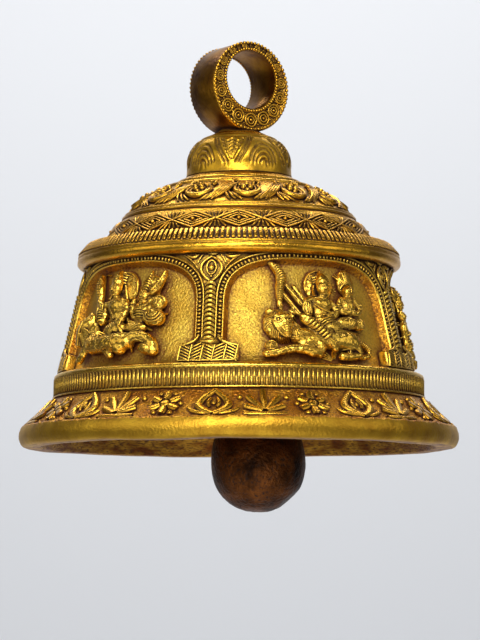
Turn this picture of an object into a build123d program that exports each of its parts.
"""Temple bell: a cast brass bell with a relief arcade, hung by a ring, with its hook, link and clapper.

Millimetres. The origin is the centre of the hole in the suspension ring, +Z is up, and -Y is the
front. Heights named below are measured from the plane of the mouth, and up() turns them into Z.
"""
from build123d import *
import os
from math import acos, cos, radians, sin, sqrt

os.makedirs("parts", exist_ok=True)

# ---------------------------------------------------------------- driving dimensions
hole_height = 152.0         # centre of the suspension hole above the mouth plane

# Suspension ring, knob and collar
hole_r = 12.25              # hole that a hook or a chain goes through
ring_outer_r = 18.6
ring_drop = 2.4             # the ring is thicker below: its rim's centre is under the hole's
ring_width = 18.0           # along the hole
ring_turn = 35.0            # the ring's face is turned from the front towards +X
foot_r = 9.5                # neck under the ring
foot_flare_r = 13.3         # and where it meets the knob
foot_height = 127.8
knob_r = 21.6
knob_seam_height = 111.4
collar_r = 26.0
shank_r = 5.0               # threaded shank under the ring, drawn at its outer radius
shank_end_height = 93.8
shank_gap = 0.1             # round the shank in the pieces that it passes through

# Dome: one arc, seen in section
dome_arc_r = 54.14
dome_arc_centre = (7.27, 57.53)
dome_foot_r = 53.2
wall = 5.0

# Drum: a cone. drum_face_r() is the outermost face of its border beads.
drum_foot_height = 30.0
drum_top_height = 74.0
drum_foot_face_r = 74.0
drum_slope = 0.24           # loss of radius per mm of height
ground_depth = 4.5          # panel ground below the outermost face
frame_depth = 1.0           # arcade frame below the outermost face
figure_proud = 1.5          # the figures stand this far outside the outermost face

# Shoulder flange, ribbed band, skirt and lip
flange_r = 66.3
band_seat_r = 73.2
band_foot_height = 20.0
lip_r = 89.7
lip_foot_inner_r = 80.4
frieze_relief = 1.2

# Arcade: pilasters and panels round the drum
bay_count = 5
bay_angle = 360.0 / bay_count
first_pilaster_angle = -9.5     # from the front, towards +X
window_half_foot = 29.9     # between the pilasters' base blocks
window_half_low = 34.0      # just above the blocks
window_half_spring = 32.4
window_spring_height = 52.0
window_rise = 17.5
window_foot_height = 31.2
block_top_height = 36.4

# Fastening inside the crown
crown_inner_height = 103.8
washer_r = 14.0
washer_t = 2.0
hook_plate_t = 2.5
nut_flats = 17.0
nut_t = 5.0

# Clapper and what it hangs on
hook_x = 7.75               # the hook's bowl is beside the bell's axis
hook_wire_r = 2.8
hook_bowl_r = 6.0
hook_height = 82.75         # centre of the hook's wire at the bottom of its bowl
link_wire_r = 1.9
link_bend_r = 6.4
play = 0.4                  # between the hook, the link and the eye
eye_wire_r = 2.3
eye_bend_r = 5.0
rod_r = 3.6
rod_foot_height = 8.0
bob_r = 19.4
bob_height = -6.6           # widest place of the bob
bob_rise = 29.6             # half axis of its egg-shaped upper half

# Frieze on the skirt
frieze_count = 28


# ---------------------------------------------------------------- geometry helpers
def up(height):
    """Z of a height above the mouth plane."""
    return height - hole_height


def at(r, height):
    """A profile point in the XZ plane: radius, and height above the mouth plane."""
    return (r, up(height))


def dome_at(r, lift=0.0):
    """The profile point of the dome's outside, at radius r before it is lifted along the normal."""
    across = r - dome_arc_centre[0]
    rise = sqrt(dome_arc_r ** 2 - across ** 2)
    scale = (dome_arc_r + lift) / dome_arc_r
    return at(dome_arc_centre[0] + across * scale, dome_arc_centre[1] + rise * scale)


def drum_face_r(height, inset=0.0):
    """Radius of the drum's outermost face at a height, less an inset."""
    return drum_foot_face_r - drum_slope * (height - drum_foot_height) - inset


def bay_plane(angle):
    """An upright plane through the axis, facing out at an angle from the front towards +X."""
    a = radians(angle)
    return Plane(origin=(0, 0, 0), x_dir=(cos(a), sin(a), 0), z_dir=(sin(a), -cos(a), 0))


def save(piece, label):
    """Label a finished piece and write its STEP file."""
    piece.part.label = label
    export_step(piece.part, f"parts/{label}.step")


dome_crown_height = dome_at(collar_r)[1] + hole_height
shank_hole_r = shank_r + shank_gap

# ---------------------------------------------------------------- suspension ring
ring_plane = bay_plane(ring_turn)
ring_rim_height = hole_height - ring_drop - ring_outer_r
neck_top = ring_rim_height + 4.0        # inside the ring's metal
neck_foot = ring_rim_height + 0.6

with BuildPart() as suspension_ring:
    with BuildSketch(ring_plane):
        with Locations((0, -ring_drop)):
            Circle(ring_outer_r)
    extrude(amount=ring_width / 2, both=True)
    fillet(suspension_ring.edges().filter_by(GeomType.CIRCLE), 1.6)
    # neck that flares down onto the knob, and the shank that goes through knob and crown
    with BuildSketch(Plane.XZ):
        with BuildLine():
            Polyline(at(0, neck_top), at(foot_r, neck_top), at(foot_r, neck_foot))
            ThreePointArc(
                at(foot_r, neck_foot),
                at(foot_r + 1.0, foot_height + 1.5),
                at(foot_flare_r, foot_height),
            )
            Polyline(
                at(foot_flare_r, foot_height),
                at(shank_r, foot_height),
                at(shank_r, shank_end_height),
                at(0, shank_end_height),
                at(0, neck_top),
            )
        make_face()
    revolve(axis=Axis.Z)
    with BuildSketch(ring_plane):
        Circle(hole_r)
    extrude(amount=ring_width, both=True, mode=Mode.SUBTRACT)
save(suspension_ring, "suspension_ring")

# ---------------------------------------------------------------- crown knob and its collar
with BuildPart() as crown_knob:
    with BuildSketch(Plane.XZ):
        with BuildLine():
            Line(at(shank_hole_r, foot_height), at(foot_flare_r, foot_height))
            ThreePointArc(at(foot_flare_r, foot_height), at(18.9, 124.0), at(knob_r - 0.1, 116.5))
            Polyline(
                at(knob_r - 0.1, 116.5),
                at(knob_r, 112.4),
                at(knob_r + 0.3, knob_seam_height),
                at(shank_hole_r, knob_seam_height),
                at(shank_hole_r, foot_height),
            )
        make_face()
    revolve(axis=Axis.Z)
save(crown_knob, "crown_knob")

with BuildPart() as knob_collar:
    with BuildSketch(Plane.XZ):
        with BuildLine():
            Polyline(
                at(shank_hole_r, dome_crown_height),
                at(shank_hole_r, knob_seam_height),
                at(knob_r + 0.3, knob_seam_height),
                at(collar_r - 0.5, knob_seam_height - 1.8),
                at(collar_r, knob_seam_height - 2.4),
                at(collar_r, dome_crown_height),
                close=True,
            )
        make_face()
    revolve(axis=Axis.Z)
save(knob_collar, "knob_collar")

# ---------------------------------------------------------------- bell shell
inner_arc_r = dome_arc_r - wall
inner_flat_r = dome_arc_centre[0] + sqrt(inner_arc_r ** 2 - (crown_inner_height - dome_arc_centre[1]) ** 2)
inner_dome_foot_height = 70.0
inner_dome_foot_r = dome_arc_centre[0] + sqrt(
    inner_arc_r ** 2 - (inner_dome_foot_height - dome_arc_centre[1]) ** 2
)
inner_mid = radians(45)
skirt_arc = (at(75.4, band_foot_height), at(80.9, 13.75), at(87.6, 8.0))

with BuildPart() as bell_shell:
    with BuildSketch(Plane.XZ):
        with BuildLine():
            # outside, from the crown to the lip
            Line(at(shank_hole_r, dome_crown_height), dome_at(collar_r))
            ThreePointArc(dome_at(collar_r), dome_at(41.0), dome_at(dome_foot_r))
            Polyline(
                dome_at(dome_foot_r),
                at(drum_face_r(drum_top_height, ground_depth), drum_top_height),
                at(drum_face_r(drum_foot_height, ground_depth), drum_foot_height),
                at(band_seat_r, drum_foot_height),
                at(band_seat_r, band_foot_height),
                skirt_arc[0],
            )
            ThreePointArc(*skirt_arc)
            ThreePointArc(skirt_arc[2], at(lip_r, 4.9), at(88.6, 1.0))
            ThreePointArc(at(88.6, 1.0), at(88.1, 0.3), at(87.4, 0))
            # inside, from the lip to the crown
            Polyline(at(87.4, 0), at(lip_foot_inner_r, 0), at(79.6, 5.0))
            ThreePointArc(at(79.6, 5.0), at(70.6, 17.6), at(64.9, drum_foot_height))
            Line(at(64.9, drum_foot_height), at(inner_dome_foot_r, inner_dome_foot_height))
            ThreePointArc(
                at(inner_dome_foot_r, inner_dome_foot_height),
                at(
                    dome_arc_centre[0] + inner_arc_r * cos(inner_mid),
                    dome_arc_centre[1] + inner_arc_r * sin(inner_mid),
                ),
                at(inner_flat_r, crown_inner_height),
            )
            Polyline(
                at(inner_flat_r, crown_inner_height),
                at(shank_hole_r, crown_inner_height),
                at(shank_hole_r, dome_crown_height),
            )
        make_face()
    revolve(axis=Axis.Z)
save(bell_shell, "bell_shell")


# ---------------------------------------------------------------- ornament bands on the dome
def dome_band(label, r_in, r_out, lift):
    """A ring of even thickness that lies on the dome between two radii."""
    r_mid = (r_in + r_out) / 2
    with BuildPart() as band:
        with BuildSketch(Plane.XZ):
            with BuildLine():
                ThreePointArc(dome_at(r_in), dome_at(r_mid), dome_at(r_out))
                Line(dome_at(r_out), dome_at(r_out, lift))
                ThreePointArc(dome_at(r_out, lift), dome_at(r_mid, lift), dome_at(r_in, lift))
                Line(dome_at(r_in, lift), dome_at(r_in))
            make_face()
        revolve(axis=Axis.Z)
    save(band, label)


dome_band("dome_scroll_band", 28.4, 45.6, 0.9)
dome_band("dome_border_ring", 45.9, 47.9, 1.1)
dome_band("dome_lozenge_band", 48.2, 52.8, 0.6)

# ---------------------------------------------------------------- shoulder flange
with BuildPart() as shoulder_flange:
    with BuildSketch(Plane.XZ):
        with BuildLine():
            Line(dome_at(dome_foot_r), at(61.5, 82.7))
            ThreePointArc(at(61.5, 82.7), at(65.1, 80.5), at(flange_r, 77.3))
            Polyline(
                at(flange_r, 77.3),
                at(flange_r - 0.2, 75.3),
                at(flange_r - 2.1, drum_top_height),
                at(drum_face_r(drum_top_height, ground_depth), drum_top_height),
                dome_at(dome_foot_r),
            )
        make_face()
    revolve(axis=Axis.Z)
save(shoulder_flange, "shoulder_flange")


# ---------------------------------------------------------------- arcade, pilasters and figures
def drum_layer(foot, top, inset_in, inset_out):
    """A conical layer round the drum, between two heights and two insets from the outermost face."""
    with BuildPart() as layer:
        with BuildSketch(Plane.XZ):
            with BuildLine():
                Polyline(
                    at(drum_face_r(foot, inset_in), foot),
                    at(drum_face_r(foot, inset_out), foot),
                    at(drum_face_r(top, inset_out), top),
                    at(drum_face_r(top, inset_in), top),
                    close=True,
                )
            make_face()
        revolve(axis=Axis.Z)
    return layer.part


arcade_top_height = 72.8
frame_layer = drum_layer(drum_foot_height, arcade_top_height, ground_depth, frame_depth)
pilaster_layer = drum_layer(drum_foot_height, 71.6, frame_depth, 0.0)
figure_layer = drum_layer(window_foot_height, 68.0, ground_depth, -figure_proud)
pilaster_angles = [first_pilaster_angle + bay_angle * i for i in range(bay_count)]
panel_angles = [first_pilaster_angle + bay_angle * (i + 0.5) for i in range(bay_count)]

with BuildPart() as arcade_frame:
    add(frame_layer)
    for panel_angle in panel_angles:
        with BuildSketch(bay_plane(panel_angle)):
            with BuildLine():
                Polyline(
                    (window_half_spring, up(window_spring_height)),
                    (window_half_low, up(block_top_height)),
                    (window_half_foot, up(block_top_height)),
                    (window_half_foot, up(window_foot_height)),
                    (-window_half_foot, up(window_foot_height)),
                    (-window_half_foot, up(block_top_height)),
                    (-window_half_low, up(block_top_height)),
                    (-window_half_spring, up(window_spring_height)),
                )
                EllipticalCenterArc(
                    (0, up(window_spring_height)), window_half_spring, window_rise, 0, arc_size=180
                )
            make_face()
        extrude(amount=lip_r, mode=Mode.SUBTRACT)
save(arcade_frame, "arcade_frame")


block_half = 11.5
column_foot_half = 3.4
column_top_half = 2.3
column_top_height = 61.5
almond_foot = 60.6
almond_top = 71.4
almond_half = 4.3
almond_middle = 66.0


def pilaster(label, angle):
    """A slender column with a wide base block and an almond-shaped head."""
    with BuildPart() as column:
        with BuildSketch(bay_plane(angle)):
            with BuildLine():
                Polyline(
                    (-block_half, up(drum_foot_height)),
                    (block_half, up(drum_foot_height)),
                    (block_half, up(block_top_height)),
                    (-block_half, up(block_top_height)),
                    close=True,
                )
            make_face()
            with BuildLine():
                Polyline(
                    (-column_foot_half, up(block_top_height)),
                    (column_foot_half, up(block_top_height)),
                    (column_top_half, up(column_top_height)),
                    (-column_top_half, up(column_top_height)),
                    close=True,
                )
            make_face()
            with BuildLine():
                ThreePointArc((0, up(almond_foot)), (almond_half, up(almond_middle)), (0, up(almond_top)))
                ThreePointArc((0, up(almond_top)), (-almond_half, up(almond_middle)), (0, up(almond_foot)))
            make_face()
        extrude(amount=lip_r)
        add(pilaster_layer, mode=Mode.INTERSECT)
    save(column, label)


for number, pilaster_angle in enumerate(pilaster_angles, start=1):
    pilaster(f"pilaster_{number}", pilaster_angle)


# Each figure group is a few ovals: (across, height, half width, half height, turn in degrees).
rider_on_lion = [
    (-15.0, 43.6, 7.2, 7.2, 0),
    (-9.0, 35.2, 13.0, 3.2, 0),
    (-4.0, 39.0, 5.0, 5.5, 0),
    (-13.5, 60.0, 2.8, 9.0, 8),
    (-8.0, 54.0, 3.2, 8.0, 35),
    (1.5, 50.0, 7.0, 8.5, 0),
    (2.5, 60.0, 5.0, 6.5, 0),
    (1.0, 41.0, 9.0, 4.0, -40),
    (14.5, 51.0, 7.0, 9.0, 0),
    (15.5, 61.0, 4.2, 6.5, 0),
    (13.0, 37.0, 9.0, 5.6, 0),
]
twin_riders = [
    (-18.5, 43.0, 5.5, 8.0, 0),
    (-14.5, 61.0, 3.2, 6.5, 0),
    (-10.0, 52.0, 5.0, 8.0, 0),
    (1.0, 50.0, 7.5, 8.0, 0),
    (-1.0, 60.5, 6.0, 6.6, 0),
    (16.5, 60.5, 4.8, 6.0, -15),
    (19.5, 49.5, 5.5, 7.5, 0),
    (7.0, 43.5, 11.0, 3.6, 0),
    (8.5, 37.8, 11.0, 4.6, 0),
    (19.0, 36.6, 5.6, 4.8, 0),
]
enthroned_figure = [
    (0.0, 36.0, 17.0, 4.6, 0),
    (0.0, 47.0, 10.0, 9.5, 0),
    (0.0, 59.5, 5.4, 6.4, 0),
    (-14.0, 47.0, 5.0, 8.0, 15),
    (14.0, 47.0, 5.0, 8.0, -15),
]
bird_rider = [
    (-3.0, 38.0, 15.0, 6.0, 0),
    (-17.0, 46.0, 5.0, 9.0, 20),
    (4.0, 50.0, 8.0, 9.0, 0),
    (4.5, 61.0, 4.4, 5.0, 0),
    (17.0, 43.0, 7.5, 9.0, -25),
]
bull_rider = [
    (1.0, 38.5, 17.0, 6.5, 0),
    (17.5, 48.0, 6.0, 7.0, 0),
    (-3.0, 51.0, 8.0, 9.0, 0),
    (-3.0, 61.0, 4.6, 5.4, 0),
    (-17.0, 44.0, 4.0, 10.0, 10),
]


def panel_relief(label, angle, ovals):
    """A relief group: overlapping ovals, as thick as the figures stand out from the panel."""
    with BuildPart() as group:
        with BuildSketch(bay_plane(angle)):
            for across, height, half_width, half_height, turn in ovals:
                with Locations((across, up(height))):
                    Ellipse(half_width, half_height, rotation=turn)
        extrude(amount=lip_r)
        add(figure_layer, mode=Mode.INTERSECT)
    save(group, label)


relief_designs = [rider_on_lion, enthroned_figure, bird_rider, bull_rider, twin_riders]
for number, panel_angle in enumerate(panel_angles, start=1):
    panel_relief(f"panel_relief_{number}", panel_angle, relief_designs[number - 1])

# ---------------------------------------------------------------- ribbed band and skirt frieze
with BuildPart() as ribbed_band:
    with BuildSketch(Plane.XZ):
        with BuildLine():
            Polyline(
                at(band_seat_r, band_foot_height),
                at(76.2, band_foot_height),
                at(75.7, 25.0),
                at(75.3, 28.4),
                at(74.4, 29.8),
                at(band_seat_r, 29.8),
                close=True,
            )
        make_face()
    revolve(axis=Axis.Z)
save(ribbed_band, "ribbed_band")

frieze_r = 81.0
with BuildPart() as skirt_frieze:
    with BuildSketch(Plane.XY.offset(up(0))):
        with PolarLocations(frieze_r, frieze_count):
            Ellipse(4.6, 3.4)
        with PolarLocations(frieze_r, frieze_count, start_angle=180 / frieze_count):
            Rectangle(8.0, 2.0)
    extrude(amount=drum_foot_height)
    with BuildSketch(Plane.XZ):
        with BuildLine():
            ThreePointArc(*skirt_arc)
            Line(skirt_arc[2], at(88.2, 8.0 + frieze_relief))
            ThreePointArc(
                at(88.2, 8.0 + frieze_relief), at(81.7, 13.75 + frieze_relief), at(76.6, band_foot_height)
            )
            Line(at(76.6, band_foot_height), skirt_arc[0])
        make_face()
    revolve(axis=Axis.Z, mode=Mode.INTERSECT)
save(skirt_frieze, "skirt_frieze")

# ---------------------------------------------------------------- washer, hook and nut in the crown
washer_foot = crown_inner_height - washer_t
plate_foot = washer_foot - hook_plate_t
nut_foot = plate_foot - nut_t

with BuildPart() as crown_washer:
    with BuildSketch(Plane.XY.offset(up(washer_foot))):
        Circle(washer_r)
        Circle(shank_hole_r, mode=Mode.SUBTRACT)
    extrude(amount=washer_t)
save(crown_washer, "crown_washer")

hook_arm_x = hook_x + hook_bowl_r
hook_centre_height = hook_height + hook_bowl_r
hook_wrap = 150.0           # degrees of the bowl, from the arm

with BuildPart() as clapper_hook:
    with BuildSketch(Plane.XY.offset(up(plate_foot))):
        Circle(8.5)
        with Locations((hook_arm_x / 2, 0)):
            Rectangle(hook_arm_x, 8.0)
        with Locations((hook_arm_x, 0)):
            Circle(4.0)
        Circle(shank_hole_r, mode=Mode.SUBTRACT)
    extrude(amount=hook_plate_t)
    with BuildLine(Plane.XZ) as hook_path:
        Line((hook_arm_x, up(plate_foot + 0.5)), (hook_arm_x, up(hook_centre_height)))
        CenterArc((hook_x, up(hook_centre_height)), hook_bowl_r, 0, -hook_wrap)
    with BuildSketch(Plane.XY.offset(up(plate_foot + 0.5))):
        with Locations((hook_arm_x, 0)):
            Circle(hook_wire_r)
    sweep(path=hook_path.line)
    tip = radians(hook_wrap)
    with Locations((hook_x + hook_bowl_r * cos(tip), 0, up(hook_centre_height - hook_bowl_r * sin(tip)))):
        Sphere(hook_wire_r)
save(clapper_hook, "clapper_hook")

with BuildPart() as crown_nut:
    with BuildSketch(Plane.XY.offset(up(nut_foot))):
        RegularPolygon(nut_flats / 2, 6, major_radius=False)
        Circle(shank_r, mode=Mode.SUBTRACT)
    extrude(amount=nut_t)
save(crown_nut, "crown_nut")

# ---------------------------------------------------------------- link, rod and bob
link_top_height = hook_height + hook_wire_r + play + link_wire_r
eye_top_rise = link_wire_r + play + eye_wire_r      # from the link's lower wire to the eye's upper wire
link_foot_height = hook_height - 13.65              # centre of the link's lower wire
upper_bend = up(link_top_height - link_bend_r)
lower_bend = up(link_foot_height + link_bend_r)

with BuildPart() as clapper_link:
    with BuildLine(Plane.YZ.offset(hook_x)) as link_path:
        Line((link_bend_r, lower_bend), (link_bend_r, upper_bend))
        CenterArc((0, upper_bend), link_bend_r, 0, 180)
        Line((-link_bend_r, upper_bend), (-link_bend_r, lower_bend))
        CenterArc((0, lower_bend), link_bend_r, 180, 180)
    with BuildSketch(Plane.XY.offset(lower_bend)):
        with Locations((hook_x, link_bend_r)):
            Circle(link_wire_r)
    sweep(path=link_path.line)
save(clapper_link, "clapper_link")

eye_centre_height = link_foot_height + eye_top_rise - eye_bend_r

with BuildPart() as clapper_rod:
    with Locations(Plane(origin=(hook_x, 0, up(eye_centre_height)), z_dir=(0, 1, 0))):
        Torus(eye_bend_r, eye_wire_r)
    rod_top_height = eye_centre_height - eye_bend_r
    with BuildSketch(Plane.XY.offset(up(rod_foot_height))):
        with Locations((hook_x, 0)):
            Circle(rod_r)
    extrude(amount=rod_top_height - rod_foot_height)
save(clapper_rod, "clapper_rod")

bob_plane = Plane(origin=(hook_x, 0, 0), x_dir=(1, 0, 0), z_dir=(0, -1, 0))
neck_turn = acos(rod_r / bob_r)
bob_neck_height = bob_height + bob_rise * sin(neck_turn)
egg_turns = [neck_turn * step / 4 for step in range(5)]
egg_points = [at(bob_r * cos(turn), bob_height + bob_rise * sin(turn)) for turn in egg_turns]

with BuildPart() as clapper_bob:
    with BuildSketch(bob_plane):
        with BuildLine():
            CenterArc(at(0, bob_height), bob_r, -90, 90)
            Spline(*egg_points, tangents=[(0, 1), (-bob_r * sin(neck_turn), bob_rise * cos(neck_turn))])
            Polyline(
                at(rod_r, bob_neck_height),
                at(rod_r, rod_foot_height),
                at(0, rod_foot_height),
                at(0, bob_height - bob_r),
            )
        make_face()
    revolve(axis=Axis((hook_x, 0, 0), (0, 0, 1)))
save(clapper_bob, "clapper_bob")
